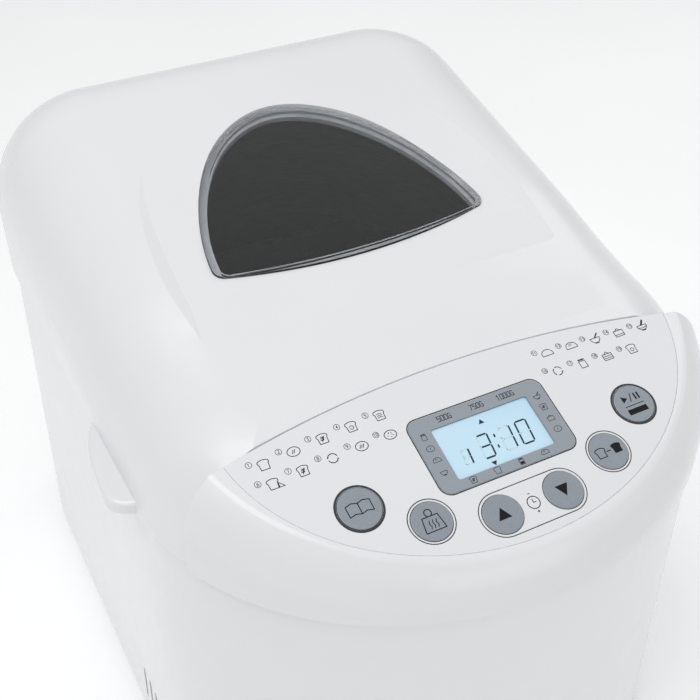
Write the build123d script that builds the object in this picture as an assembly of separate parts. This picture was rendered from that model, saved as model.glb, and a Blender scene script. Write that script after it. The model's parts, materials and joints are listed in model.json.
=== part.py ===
from build123d import *
import math
import os

# Bread machine, modelled in millimetres: +Z up, front towards -Y.
# Every sub-part is drawn about the panel datum, the point midway between the two time keys on
# the control panel, and save() moves it to the row frame (origin under the middle, on the floor).

# ---- driving dimensions ------------------------------------------------------------------
DATUM_Y = -165.1             # panel datum in the row frame
DATUM_Z = 233.0

PANEL_TILT = 18.0            # slope of the control panel, degrees
PLAN_Y = 100.0               # where the elliptical nose meets the straight sides
LID_HALF = 143.0             # half width of lid and brow
NOSE = 127.6                 # depth of the elliptical nose
REAR = 356.0                 # rear wall
CORNER = 50.0                # rear corner radius in plan
SKIN = 2.6                   # plastic wall thickness

WALL_TOP_HALF = 139.5        # body wall, half width at its top
WALL_BASE_HALF = 145.0       # body wall, half width at the floor
SEAM_Z = -24.0               # lower edge of the lid
DECK_TOP = -24.6             # top face of the deck the lid closes on
DECK_BOTTOM = -27.2
BASE_TOP = -225.5            # tray floor, inside
BASE_BOTTOM = -228.0
FLOOR_Z = -233.0             # where the rubber feet stand

PARTING_R = 565.8            # the lid meets the brow on this arc in plan
PARTING_Y = 70.4             # its rearmost point
PARTING_GAP = 0.3

CROWN_Y = 157.53             # a point of the lid's flat tongue, in which the window lies
CROWN_Z = 36.83
CROWN_TILT = 11.7
RIDGE_HALF = 100.0           # horseshoe ridge round the tongue
RIDGE_START = 150.0          # the ridge is straight in front of this and elliptical behind
RIDGE_DEPTH = 149.0
RIDGE_RISE = 3.0             # the ridge stands this far above the tongue
FLANK_R = 54.0               # radius of the rounded flank outside the ridge
FRONT_LIP = 0.4              # how far the lid's front edge stands above the panel
GRIP_X = 139.0               # middle, reach and lengths of the lid's grip tabs
GRIP_Y = 104.0
GRIP_OUT = 14.3
GRIP_FRONT = 12.5
GRIP_REAR = 50.0
GRIP_T = 6.0
LID_CORNER = 58.0            # rear corner radius of the lid in plan

WINDOW_HALF = 73.7
WINDOW_ARCH = 106.4
WINDOW_BOW = 9.6
HINGE_Y = 351.5
HINGE_Z = -19.8
HINGE_X = 70.0

PAN_Y = 212.0                # centre of the baking chamber, the pan and the drive shaft
CHAMBER_HALF_X = 104.0
CHAMBER_HALF_Y = 88.0
CHAMBER_FLOOR = -186.0
PAN_TOP = -40.0
PAN_BOTTOM = -158.0
PAN_HALF_X = 92.0
PAN_HALF_Y = 68.0
SHAFT_R = 4.0
RUNNING = 0.05               # radial clearance of a shaft in its bearing

MOTOR_Y = 52.0
PULLEY_TOP = -203.0
PULLEY_BOTTOM = -214.0
LARGE_PULLEY_R = 46.0
SMALL_PULLEY_R = 10.0

KEY_R = 8.8
KEYS = {
    "key_menu": (-68.7, 24.5, 9.3),
    "key_weight": (-44.0, 8.4, KEY_R),
    "key_up": (-15.0, 0.0, KEY_R),
    "key_down": (15.0, 0.0, KEY_R),
    "key_crust": (44.0, 8.4, KEY_R),
    "key_start": (68.7, 24.5, 9.3),
}
KEY_GAP = 0.3
MEMBRANE_T = 0.5
DISPLAY_V = 34.3             # centre of the display, up the panel
DISPLAY_HALF_U = 33.5
DISPLAY_HALF_V = 18.5
VIEW_HALF_U = 24.2           # lit area of the display
VIEW_HALF_V = 12.8
VIEW_V = 33.4

VENT_X = [-66 + 12 * i for i in range(12)]   # slots in the rear wall
CORD_X = -95.0               # cord inlet in the rear wall
CORD_Z = -199.0
FOOT_POINTS = [(-112, 60), (112, 60), (-112, 318), (112, 318)]
BASE_SCREW_POINTS = [(-120, 110), (120, 110), (-120, 260), (120, 260), (0, -8)]
BOARD_SCREWS = [(-70, 49), (70, 49), (-62, 2), (62, 2)]
POWER_X = -100.0             # plane of the power board
ELEMENT_Z = -150.0
ELEMENT_R = 3.2
BAIL_Z = -33.0               # pivot and size of the pan's bail handle
BAIL_X = PAN_HALF_X + 4.5
BAIL_REACH = 76.0

PANEL = Location((0, 0, 0), (PANEL_TILT, 0, 0))
WINDOW = Location((0, CROWN_Y, CROWN_Z), (CROWN_TILT, 0, 0))


# ---- helpers -----------------------------------------------------------------------------
def save(name, shape):
    export_step(Pos(0, DATUM_Y, DATUM_Z) * shape, f"parts/{name}.step")


def block(face, z0, z1):
    """A flat face in plan, extruded from z0 to z1."""
    return extrude(Pos(0, 0, z0) * face, z1 - z0)


def box(x0, x1, y0, y1, z0, z1):
    centre = Pos((x0 + x1) / 2, (y0 + y1) / 2, (z0 + z1) / 2)
    return centre * Box(x1 - x0, y1 - y0, z1 - z0)


def rod(r, z0, z1, x=0.0, y=0.0):
    return Pos(x, y, (z0 + z1) / 2) * Cylinder(r, z1 - z0)


def rod_x(r, x0, x1, y, z):
    return Pos((x0 + x1) / 2, y, z) * Rot(0, 90, 0) * Cylinder(r, x1 - x0)


def rod_y(r, y0, y1, x, z):
    return Pos(x, (y0 + y1) / 2, z) * Rot(90, 0, 0) * Cylinder(r, y1 - y0)


def tube(r_out, r_in, z0, z1, x=0.0, y=0.0):
    return rod(r_out, z0, z1, x, y) - rod(r_in, z0, z1, x, y)


def screw(x, y, z_head, length, r=1.5, up=True):
    """Pan-head screw: the shank points up from the head when up is true."""
    side = 1 if up else -1
    head = rod(2 * r, min(z_head, z_head - side * r), max(z_head, z_head - side * r), x, y)
    shank = rod(r, min(z_head, z_head + side * length), max(z_head, z_head + side * length), x, y)
    return head + shank


def plan(half, nose, rear, corner):
    """Plan outline: elliptical nose, straight sides, rounded rear corners."""
    front = Pos(0, PLAN_Y) * Ellipse(half, nose)
    back = Pos(0, (PLAN_Y + rear) / 2) * Rectangle(2 * half, rear - PLAN_Y)
    back = fillet(back.vertices().sort_by(Axis.Y)[-2:], corner)
    return front + back


def outer_plan(inset=0.0):
    return plan(LID_HALF - inset, NOSE - inset, REAR - inset, CORNER - inset)


def parting(radius_change):
    """Everything in front of the lid's front edge, as one upright cylinder."""
    return rod(PARTING_R + radius_change, -60, 120, 0, PARTING_Y - PARTING_R)


def smooth(t):
    t = min(max(t, 0.0), 1.0)
    return t * t * (3 - 2 * t)


# ---- shapes of the lid and the brow ------------------------------------------------------
def crown(y):
    """Height of the lid's tongue: straight at the window, sweeping up to the panel."""
    level = CROWN_Z + math.tan(math.radians(CROWN_TILT)) * (y - CROWN_Y)
    return level + 0.00081 * max(0.0, 148.0 - y) ** 2


def crest(y):
    """Height of the lid's middle before the tongue is sunk into it."""
    return crown(y) + RIDGE_RISE * smooth((y - 100) / 65)


def lid_dome(profile, inset, radius):
    """Lid-shaped block: a side profile inside the plan outline, its top edge well rounded."""
    points = [(y, profile(y)) for y in (30, 70, 100, 125, 148, 170, 210, 250, 300, 370)]
    side = make_face([Spline(points), Polyline([points[-1], (370, -80), (30, -80), points[0]])])
    body = extrude(Plane.YZ * side, 200, both=True)
    body &= block(plan(LID_HALF - inset, NOSE - inset, REAR - inset, LID_CORNER - inset), -80, 130)
    body -= rod(PARTING_R + PARTING_GAP + inset, -90, 140, 0, PARTING_Y - PARTING_R)
    rim = [e for e in body.edges() if e.center().Z > -79 and e.center().Y > 75 and not is_upright(e)]
    return fillet(rim, radius)


def ridge_face(half, depth):
    """Horseshoe outline in the window's plane: straight sides closed by half an ellipse."""
    start = RIDGE_START - CROWN_Y
    front = -62.0
    return make_face([
        EllipticalCenterArc((0, start), half, depth, start_angle=0, arc_size=180),
        Polyline([(-half, start), (-half, front), (half, front), (half, start)]),
    ])


def tongue_cutter():
    """Sinks the lid's tongue: sloping edges all round, running out in front of the window."""
    low = ridge_face(RIDGE_HALF - 9, RIDGE_DEPTH - 9)
    high = Pos(0, 0, 5) * ridge_face(RIDGE_HALF + 6, RIDGE_DEPTH + 6)
    cutter = WINDOW * loft([low, high.face()], ruled=True)
    points = [(88, crown(88) + 3.0), (118, crown(118) + 0.9), (148, crown(148)), (330, crown(330))]
    above = make_face([Spline(points), Polyline([points[-1], (330, 130), (88, 130), points[0]])])
    return cutter & extrude(Plane.YZ * above, 200, both=True)


def is_on_panel(edge):
    """True for the curved crease where the dome meets the flat panel."""
    at = PANEL.inverse() * Pos(*edge.center())
    return abs(at.position.Z) < 0.05 and at.position.Y < 60


def is_upright(edge):
    start = edge @ 0
    end = edge @ 1
    return abs(start.X - end.X) + abs(start.Y - end.Y) < 0.01


def dome(rise, half, nose, radius):
    """Plan outline cut off by a plane above the panel's, with a rounded top edge."""
    slope = math.tan(math.radians(PANEL_TILT))
    points = [(-40, -40 * slope + rise), (90, 90 * slope + rise), (90, -90), (-40, -90)]
    body = extrude(Plane.YZ * make_face(Polyline([*points, points[0]])), 200, both=True)
    body &= block(plan(half, nose, REAR, CORNER), -90, 60) & box(-200, 200, -60, 80, -90, 60)
    rim = [e for e in body.edges() if e.center().Z > -88 and e.center().Y < 79 and not is_upright(e)]
    return fillet(rim, radius)


def window_face(grow=0.0):
    """Arched outline of the lid's window, in the window's own plane."""
    half = WINDOW_HALF + grow
    arch = WINDOW_ARCH + grow
    points = []
    for i in range(17):
        a = math.radians(-90 + 180 * i / 16)
        x = half * math.copysign(abs(math.sin(a)) ** (2 / 1.93), a)
        points.append((x, arch * max(0.0, math.cos(a)) ** (2 / 1.67)))
    top = Spline(points)
    bottom = ThreePointArc(points[0], (0, -WINDOW_BOW - grow), points[-1])
    face = make_face([top, bottom])
    return fillet(face.vertices(), 6.0 + grow / 2)


# ---- housing -----------------------------------------------------------------------------
def wall_plan(share, inset):
    """Plan of the body wall; share is 0 at the floor and 1 at its top."""
    half = WALL_BASE_HALF + (WALL_TOP_HALF - WALL_BASE_HALF) * share
    nose = NOSE + 0.4 - 1.0 * share
    return plan(half - inset, nose - inset, REAR - 0.5 - inset, CORNER - 2 - inset)


def wall_loft(inset):
    low = Pos(0, 0, BASE_BOTTOM) * wall_plan(0, inset)
    high = Pos(0, 0, DECK_BOTTOM) * wall_plan(1, inset)
    return loft([low.face(), high.face()], ruled=True)


def body_shell():
    """Outer wall of the body, open at top and bottom, vented at the rear and the sides."""
    shell = wall_loft(0) - wall_loft(SKIN)
    slot = Rot(90, 0, 0) * extrude(SlotOverall(44, 3.4, rotation=90), 12, both=True)
    cuts = [Pos(x, REAR, z) * slot for x in VENT_X for z in (-70, -130)]
    side_slot = Rot(0, 90, 0) * extrude(SlotOverall(26, 3.0), 320, both=True)
    cuts += [Pos(0, 70 + 9 * i, -200) * side_slot for i in range(8)]
    cuts.append(rod_y(9.0, REAR - 12, REAR + 8, CORD_X, CORD_Z))
    return shell - cuts


def base_tray():
    """Bottom tray with its rim, the posts for the motor and the rail for the power board."""
    tray = block(wall_plan(0, SKIN + 0.3), BASE_BOTTOM, BASE_TOP)
    rim = block(wall_plan(0, SKIN + 0.7), BASE_TOP, BASE_TOP + 10)
    rim -= block(wall_plan(0, SKIN + 2.9), BASE_TOP, BASE_TOP + 10)
    tray += rim
    for x in (-38, 38):
        for y in (MOTOR_Y - 33, MOTOR_Y + 33):
            tray += rod(6.5, BASE_TOP, -207, x, y)
    tray += box(-105, -96, 28, 96, BASE_TOP, -192)
    vents = [box(-60 + 10 * i, -57 + 10 * i, 120, 150, -230, -220) for i in range(13)]
    tray -= vents
    for x, y in FOOT_POINTS:
        tray -= rod(3.0, -230, -224, x, y)
    for x, y in BASE_SCREW_POINTS:
        tray -= rod(1.5, -230, -224, x, y)
    return tray


def rubber_feet():
    feet = Part()
    for x, y in FOOT_POINTS:
        foot = rod(11, FLOOR_Z, BASE_BOTTOM, x, y)
        foot = chamfer(foot.faces().sort_by(Axis.Z)[0].edges(), 1.5)
        feet += foot + rod(3.0, BASE_BOTTOM, BASE_TOP, x, y) + rod(4.2, BASE_TOP, BASE_TOP + 1.5, x, y)
    return feet


def base_screws():
    return Part() + [screw(x, y, BASE_BOTTOM, 9) for x, y in BASE_SCREW_POINTS]


def cord_gland():
    """Grommet that lines the power cord's hole in the rear wall."""
    wall_out = REAR - 0.5 + 0.2
    sleeve = rod_y(8.9, wall_out - 5, wall_out, CORD_X, CORD_Z)
    flange = rod_y(12, wall_out, wall_out + 2.5, CORD_X, CORD_Z)
    inner = rod_y(11, wall_out - 7, wall_out - 4.5, CORD_X, CORD_Z)
    return sleeve + flange + inner - rod_y(3.6, wall_out - 10, wall_out + 5, CORD_X, CORD_Z)


def chamber_plan(grow, corner=24.0):
    size_x = 2 * (CHAMBER_HALF_X + grow)
    size_y = 2 * (CHAMBER_HALF_Y + grow)
    return Pos(0, PAN_Y) * RectangleRounded(size_x, size_y, corner + grow)


def membrane_face(grow=0.0):
    """Outline of the printed control membrane, in the panel's plane."""
    low = EllipticalCenterArc((0, 76), 113.2 + grow, 90.5 + grow, start_angle=188.9, arc_size=162.2)
    left = low @ 0
    right = low @ 1
    high = ThreePointArc(right, (0, 74 + grow), left)
    return make_face([low, high])


def rounded_rect(half_u, half_v, v, corner):
    return Pos(0, v) * RectangleRounded(2 * half_u, 2 * half_v, corner)


def on_panel(face, n0, n1):
    return PANEL * extrude(Pos(0, 0, n0) * face, n1 - n0)


def top_cover():
    """Deck, brow and panel seat in one moulding."""
    outer = dome(2.5, LID_HALF, NOSE, 30) & parting(-PARTING_GAP)
    outer &= box(-200, 200, -60, 80, DECK_BOTTOM, 60)
    outer -= on_panel(Rectangle(400, 400), 0, 40)
    crease = [e for e in outer.edges() if is_on_panel(e)]
    outer = fillet(crease, 5)
    room = dome(-0.6, LID_HALF - 3, NOSE - 3, 28) & parting(-PARTING_GAP - SKIN)
    room -= on_panel(Rectangle(400, 400), -2.7, 40)
    brow = outer - (room & box(-200, 200, -60, 80, DECK_TOP, 60))
    brow -= block(outer_plan(14), DECK_BOTTOM - 1, DECK_TOP + 1) & parting(-14)
    deck = block(wall_plan(1, 0), DECK_BOTTOM, DECK_TOP) - parting(-PARTING_GAP - SKIN)
    deck -= block(chamber_plan(1.0), DECK_BOTTOM - 1, DECK_TOP + 1)
    cover = brow + deck + board_posts()
    cover -= on_panel(membrane_face(0.2), -0.6, 6)
    cover -= on_panel(rounded_rect(DISPLAY_HALF_U, DISPLAY_HALF_V, DISPLAY_V, 5), -8, 6)
    for u, v, r in KEYS.values():
        cover -= on_panel(Pos(u, v) * Circle(r + KEY_GAP), -8, 6)
        cover -= on_panel(Pos(u, v) * Circle(r + 1.7), -12, -2.7)
    for x in (-1, 1):
        cover -= rod(1.5, -30, -20, x * 124, 200)
    return cover


def panel_overlay():
    """Printed membrane in the panel's recess, with holes for the keys and the display."""
    sheet = on_panel(membrane_face(), -0.6, -0.6 + MEMBRANE_T)
    sheet -= on_panel(rounded_rect(DISPLAY_HALF_U, DISPLAY_HALF_V, DISPLAY_V, 5), -2, 2)
    for u, v, r in KEYS.values():
        sheet -= on_panel(Pos(u, v) * Circle(r + KEY_GAP), -2, 2)
    return sheet


def display_bezel():
    frame = on_panel(rounded_rect(DISPLAY_HALF_U - 0.15, DISPLAY_HALF_V - 0.15, DISPLAY_V, 4.8), -2.6, 0)
    return frame - on_panel(rounded_rect(VIEW_HALF_U, VIEW_HALF_V, VIEW_V, 1.2), -4, 2)


def lcd_glass():
    """Display glass, seen through the bezel's opening."""
    plate = on_panel(rounded_rect(VIEW_HALF_U - 0.1, VIEW_HALF_V - 0.1, VIEW_V, 1.1), -2.6, -0.9)
    return plate + on_panel(rounded_rect(29, 16, VIEW_V, 1.0), -4.4, -2.6)


def lcd_backlight():
    light = on_panel(rounded_rect(29, 16, VIEW_V, 1.0), -7.4, -4.4)
    for u in (-26, 26):
        light += on_panel(Pos(u, VIEW_V) * Rectangle(3, 20), -13, -7.4)
    return light


def key_cap(u, v, r):
    """One key: a cap in the membrane's hole, a retaining flange and a stem to its switch."""
    cap = on_panel(Pos(u, v) * Circle(r), -3.0, 0.35)
    cap = fillet(cap.edges().filter_by(GeomType.CIRCLE).sort_by(Axis.Z)[-1], 0.3)
    flange = on_panel(Pos(u, v) * Circle(r + 1.2), -4.2, -3.0)
    stem = on_panel(Pos(u, v) * Circle(2.4), -8.6, -4.2)
    return cap + flange + stem


def control_board():
    board = on_panel(Pos(0, 27) * RectangleRounded(150, 56, 4), -14.6, -13.0)
    for u, v in BOARD_SCREWS:
        board -= on_panel(Pos(u, v) * Circle(1.5), -16, -12)
    return board


def board_posts():
    """Posts under the cover that the control board hangs from, with blind screw bores."""
    posts = Part()
    for u, v in BOARD_SCREWS:
        post = on_panel(Pos(u, v) * Circle(3.2), -13.0, -2.0)
        posts += post - on_panel(Pos(u, v) * Circle(1.5), -14, -6.9)
    return posts


def board_screws():
    screws = Part()
    for u, v in BOARD_SCREWS:
        screws += on_panel(Pos(u, v) * Circle(1.5), -14.6, -7)
        screws += on_panel(Pos(u, v) * Circle(3.0), -16.2, -14.6)
    return screws


def tact_switches():
    switches = Part()
    for u, v, r in KEYS.values():
        switches += on_panel(Pos(u, v) * Rectangle(6, 6), -13.0, -10.6)
        switches += on_panel(Pos(u, v) * Circle(1.7), -10.6, -9.7)
    return switches


def control_chips():
    """Controller, driver and buzzer on the lower side of the control board."""
    chips = on_panel(Pos(0, 30) * Rectangle(14, 14), -16.4, -14.6)
    chips += on_panel(Pos(-30, 30) * Rectangle(10, 6), -16.2, -14.6)
    chips += on_panel(Pos(34, 34) * Circle(6), -20, -14.6)
    chips += on_panel(Pos(60, 40) * Rectangle(16, 6), -21, -14.6)
    return chips


# ---- power electronics -------------------------------------------------------------------


def power_board():
    return box(POWER_X - 0.8, POWER_X + 0.8, 28, 96, -192, -100)


def power_parts():
    """Transformer, relays, capacitors and terminal block on the power board."""
    face = POWER_X + 0.8
    parts = box(face, face + 26, 34, 66, -186, -152)
    parts += box(face, face + 16, 72, 92, -184, -172)
    parts += box(face, face + 16, 72, 92, -166, -154)
    parts += rod_x(6, face, face + 20, 42, -134)
    parts += rod_x(6, face, face + 20, 58, -134)
    parts += box(face, face + 11, 34, 90, -114, -104)
    parts += box(face, face + 9, 70, 90, -144, -128)
    return parts


def ribbon_cable():
    """Flat cable from the control board's plug down to the power board."""
    width = 14
    drop = box(53, 53 + width, 46, 46.8, -110, -7.4)
    across = box(-80, 53 + width, 46, 46.8, -110.8, -110)
    return drop + across


# ---- baking chamber ----------------------------------------------------------------------
def chamber_liner():
    """Sheet-metal oven: deep box with a flange that lies on the deck."""
    shell = block(chamber_plan(0.8), CHAMBER_FLOOR - 0.8, DECK_TOP + 0.8)
    shell -= block(chamber_plan(0.0), CHAMBER_FLOOR, DECK_TOP + 1)
    flange = block(chamber_plan(6.0), DECK_TOP, DECK_TOP + 0.8) - block(chamber_plan(0.4), -30, -20)
    liner = shell + flange + element_clips() - rod(9.4, -190, -180, 0, PAN_Y)
    for y in (-50, -30):
        liner -= rod_x(3.6, -110, -100, PAN_Y + y, ELEMENT_Z)
    liner -= rod_x(2.6, 100, 108, PAN_Y + 30, -80)
    return liner


def element_tube():
    """Sheathed heating element: one loop round the pan with its two ends led out."""
    x = CHAMBER_HALF_X - 6.0
    y = CHAMBER_HALF_Y - 6.0
    points = [
        (-x - 16, PAN_Y - 50, ELEMENT_Z),
        (-x + 6, PAN_Y - 50, ELEMENT_Z),
        (-x + 6, PAN_Y - y, ELEMENT_Z),
        (x, PAN_Y - y, ELEMENT_Z),
        (x, PAN_Y + y, ELEMENT_Z),
        (-x + 6, PAN_Y + y, ELEMENT_Z),
        (-x + 6, PAN_Y - 30, ELEMENT_Z),
        (-x - 16, PAN_Y - 30, ELEMENT_Z),
    ]
    path = FilletPolyline(*points, radius=[9, 22, 22, 22, 22, 9])
    return sweep(Plane(origin=path @ 0, z_dir=path % 0) * Circle(ELEMENT_R), path=path)


def element_terminals():
    """Ceramic collars and tabs on the two ends of the element, outside the chamber."""
    x = -CHAMBER_HALF_X
    parts = Part()
    for y in (PAN_Y - 50, PAN_Y - 30):
        collar = rod_x(6.0, x - 5.8, x - 0.8, y, ELEMENT_Z)
        parts += collar - rod_x(ELEMENT_R, x - 10, x, y, ELEMENT_Z)
        parts += box(x - 18, x - 10, y - 0.5, y + 0.5, ELEMENT_Z - 3, ELEMENT_Z + 3)
    return parts


def element_clips():
    """Saddles that hold the element off the chamber's long walls."""
    y = CHAMBER_HALF_Y
    clips = Part()
    for x in (-55, 55):
        for side in (-1, 1):
            near = PAN_Y + side * (y - 6 - ELEMENT_R)
            wall = PAN_Y + side * y
            low, high = sorted((near, wall))
            clips += box(x - 4, x + 4, low, high, ELEMENT_Z - ELEMENT_R - 1.5, ELEMENT_Z - ELEMENT_R)
    return clips


def temperature_sensor():
    probe = rod_x(2.5, 92, 112, PAN_Y + 30, -80)
    return probe + rod_x(6, 104.8, 107, PAN_Y + 30, -80)


def thermal_fuse():
    fuse = rod_y(4, PAN_Y - 20, PAN_Y + 4, 108.8, -120)
    return fuse + box(104.8, 106, PAN_Y - 26, PAN_Y + 10, -126, -114)


def liner_legs():
    """Four sheet-metal legs that stand the chamber on the tray."""
    legs = Part()
    for x in (-80, 80):
        for y in (PAN_Y - 62, PAN_Y + 62):
            leg = box(x - 9, x + 9, y - 0.8, y + 0.8, BASE_TOP + 1.2, CHAMBER_FLOOR - 2)
            leg += box(x - 9, x + 9, y - 9, y + 9, CHAMBER_FLOOR - 2, CHAMBER_FLOOR - 0.8)
            leg += box(x - 9, x + 9, y - 9, y + 9, BASE_TOP, BASE_TOP + 1.2)
            legs += leg
    return legs


def pan_seat():
    """Ring on the chamber floor that centres the pan's foot, with three spring tongues."""
    ring = tube(52, 46.5, CHAMBER_FLOOR, CHAMBER_FLOOR + 1.2, 0, PAN_Y)
    wall = tube(48, 46.5, CHAMBER_FLOOR, CHAMBER_FLOOR + 12, 0, PAN_Y)
    ledge = tube(46.5, 41, CHAMBER_FLOOR, CHAMBER_FLOOR + 2.7, 0, PAN_Y)
    seat = ring + wall + ledge
    for i in range(3):
        notch = Pos(0, PAN_Y, CHAMBER_FLOOR + 9) * Rot(0, 0, 90 + 120 * i) * Pos(47, 0, 0) * Box(6, 16, 6.1)
        seat -= notch
    return seat


def bearing_housing():
    """Flanged bearing under the chamber that carries the drive shaft."""
    body = rod(9.0, -200, -182, 0, PAN_Y) + rod(24, -190, CHAMBER_FLOOR - 0.8, 0, PAN_Y)
    return body - rod(SHAFT_R + RUNNING, -201, -181, 0, PAN_Y)


# ---- drive -------------------------------------------------------------------------------
def drive_shaft():
    return rod(SHAFT_R, -216, -179, 0, PAN_Y)


def drive_coupling():
    """Lower half of the coupling: a disc with two dogs that push the pan's wing."""
    disc = rod(16, -181.5, -178, 0, PAN_Y) - rod(SHAFT_R, -182, -179, 0, PAN_Y)
    for side in (-1, 1):
        low, high = sorted((side * 4.3, side * 12))
        disc += box(low, high, PAN_Y - 8, PAN_Y + 8, -178, -169.5)
    return disc


def pulley(r, y, bore, web):
    """Grooved pulley; a large one has five holes in its web."""
    wheel = rod(r + 2.0, PULLEY_BOTTOM, PULLEY_BOTTOM + 1.5, 0, y)
    wheel += rod(r, PULLEY_BOTTOM + 1.5, PULLEY_TOP - 1.5, 0, y)
    wheel += rod(r + 2.0, PULLEY_TOP - 1.5, PULLEY_TOP, 0, y)
    if web:
        wheel -= tube(r - 4, 11, PULLEY_BOTTOM + 4, PULLEY_TOP + 1, 0, y)
        for i in range(5):
            a = math.radians(72 * i)
            wheel -= rod(9, PULLEY_BOTTOM - 1, PULLEY_TOP, 27 * math.cos(a), y + 27 * math.sin(a))
    return wheel - rod(bore, PULLEY_BOTTOM - 1, PULLEY_TOP + 1, 0, y)


def shaft_clips():
    """Retaining rings above and below the large pulley."""
    low = tube(6.5, SHAFT_R, PULLEY_BOTTOM - 1.0, PULLEY_BOTTOM, 0, PAN_Y)
    return low + tube(6.5, SHAFT_R, PULLEY_TOP, PULLEY_TOP + 1.0, 0, PAN_Y)


def drive_belt():
    """Flat belt round both pulleys, at rest."""
    gap = 0.3
    thick = 1.6

    def loop(extra):
        big = Pos(0, PAN_Y) * Circle(LARGE_PULLEY_R + extra)
        small = Pos(0, MOTOR_Y) * Circle(SMALL_PULLEY_R + extra)
        return make_hull((big + small).edges())

    z0 = PULLEY_BOTTOM + 1.8
    z1 = PULLEY_TOP - 1.8
    return block(loop(gap + thick), z0, z1) - block(loop(gap), z0, z1)


def motor_plate():
    """Steel plate that hangs the motor over the tray's posts."""
    plate = block(Pos(0, MOTOR_Y) * RectangleRounded(96, 84, 8), -200, -198)
    plate -= rod(15, -201, -197, 0, MOTOR_Y)
    return plate


def motor_dampers():
    pads = Part()
    for x in (-38, 38):
        for y in (MOTOR_Y - 33, MOTOR_Y + 33):
            pads += rod(6.5, -207, -200, x, y)
    return pads


def motor_stator():
    """Laminated stator."""
    core = block(Pos(0, MOTOR_Y) * RectangleRounded(78, 78, 10), -176, -148)
    return core - rod(21.5, -180, -140, 0, MOTOR_Y)


def motor_coils():
    lower = tube(33, 23, -188, -176, 0, MOTOR_Y)
    upper = tube(33, 23, -148, -136, 0, MOTOR_Y)
    return fillet(lower.edges(), 3) + fillet(upper.edges(), 3)


def motor_brackets():
    """Two end brackets, each with four legs to the stator and a bearing boss."""
    low = block(Pos(0, MOTOR_Y) * RectangleRounded(76, 76, 8), -198, -195)
    high = block(Pos(0, MOTOR_Y) * RectangleRounded(76, 76, 8), -132, -129)
    for x in (-33, 33):
        for y in (MOTOR_Y - 33, MOTOR_Y + 33):
            low += rod(4, -195, -176, x, y)
            high += rod(4, -148, -132, x, y)
    low += rod(8, -201.5, -190, 0, MOTOR_Y)
    high += rod(8, -136, -126, 0, MOTOR_Y)
    bore = rod(3 + RUNNING, -205, -120, 0, MOTOR_Y)
    return (low - bore) + (high - bore)


def motor_rotor():
    return tube(21, 3, -177, -147, 0, MOTOR_Y)


def motor_shaft():
    return rod(3, -216, -116, 0, MOTOR_Y)


def motor_fan():
    """Cooling fan on the upper end of the motor shaft."""
    fan = rod(7, -124, -117, 0, MOTOR_Y)
    for i in range(7):
        blade = Pos(16, 0, 0) * Rot(25, 0, 0) * Box(22, 1.2, 8)
        fan += Pos(0, MOTOR_Y, -120.5) * Rot(0, 0, 360 * i / 7) * blade
    return fan - rod(3, -130, -110, 0, MOTOR_Y)


def motor_capacitor():
    can = rod_y(15, 28, 76, 78, -209.5)
    return can + box(74, 82, 76, 82, -212, -207)


# ---- bread pan ---------------------------------------------------------------------------
def pan_plan(half_x, half_y, corner):
    return Pos(0, PAN_Y) * RectangleRounded(2 * half_x, 2 * half_y, corner)


def bread_pan():
    """Tapered pan with a rolled rim and two ears for the handle."""
    wall = 1.2
    top = Pos(0, 0, PAN_TOP) * pan_plan(PAN_HALF_X, PAN_HALF_Y, 26)
    bottom = Pos(0, 0, PAN_BOTTOM) * pan_plan(PAN_HALF_X - 4, PAN_HALF_Y - 4, 24)
    outer = loft([bottom.face(), top.face()], ruled=True)
    top_in = Pos(0, 0, PAN_TOP + 1) * pan_plan(PAN_HALF_X - wall, PAN_HALF_Y - wall, 26 - wall)
    low_in = Pos(0, 0, PAN_BOTTOM + wall) * pan_plan(PAN_HALF_X - 4 - wall, PAN_HALF_Y - 4 - wall, 24 - wall)
    inner = loft([low_in.face(), top_in.face()], ruled=True)
    pan = fillet(outer.faces().sort_by(Axis.Z)[0].edges(), 4)
    pan -= fillet(inner.faces().sort_by(Axis.Z)[0].edges(), 3)
    rim = block(pan_plan(PAN_HALF_X + 3.5, PAN_HALF_Y + 3.5, 29.5), PAN_TOP - 1.5, PAN_TOP)
    rim -= block(pan_plan(PAN_HALF_X - wall, PAN_HALF_Y - wall, 26 - wall), PAN_TOP - 3, PAN_TOP + 1)
    pan += rim
    for side in (-1, 1):
        low, high = sorted((side * (PAN_HALF_X - 1), side * (PAN_HALF_X + 1)))
        ear = box(low, high, PAN_Y - 7, PAN_Y + 7, PAN_TOP - 2, BAIL_Z)
        ear += rod_x(5.5, low, high, PAN_Y, BAIL_Z)
        pan += ear - rod_x(2.55, low - 1, high + 1, PAN_Y, BAIL_Z)
    return pan - rod(8.0, PAN_BOTTOM - 1, PAN_BOTTOM + 3, 0, PAN_Y)


def pan_foot():
    return tube(45.8, 43.5, -183, PAN_BOTTOM, 0, PAN_Y)


def pan_bushing():
    """Sealed bearing pressed into the pan's floor."""
    body = rod(8.0, -166, -154.4, 0, PAN_Y) + rod(12, -162, PAN_BOTTOM, 0, PAN_Y)
    return body - rod(SHAFT_R + RUNNING, -170, -150, 0, PAN_Y)


def pan_handle():
    """Wire bail folded down in front, with a pivot pin at each end."""
    y_front = PAN_Y - BAIL_REACH
    points = [
        (-BAIL_X, PAN_Y, BAIL_Z),
        (-BAIL_X, y_front, BAIL_Z),
        (BAIL_X, y_front, BAIL_Z),
        (BAIL_X, PAN_Y, BAIL_Z),
    ]
    wire = FilletPolyline(*points, radius=24)
    bail = sweep(Plane(origin=wire @ 0, z_dir=wire % 0) * Circle(1.8), path=wire)
    for side in (-1, 1):
        low, high = sorted((side * (PAN_HALF_X - 4), side * (BAIL_X + 2.4)))
        bail += rod_x(2.5, low, high, PAN_Y, BAIL_Z)
    return bail


def pan_shaft():
    return rod(SHAFT_R, -176, -131, 0, PAN_Y)


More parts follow.
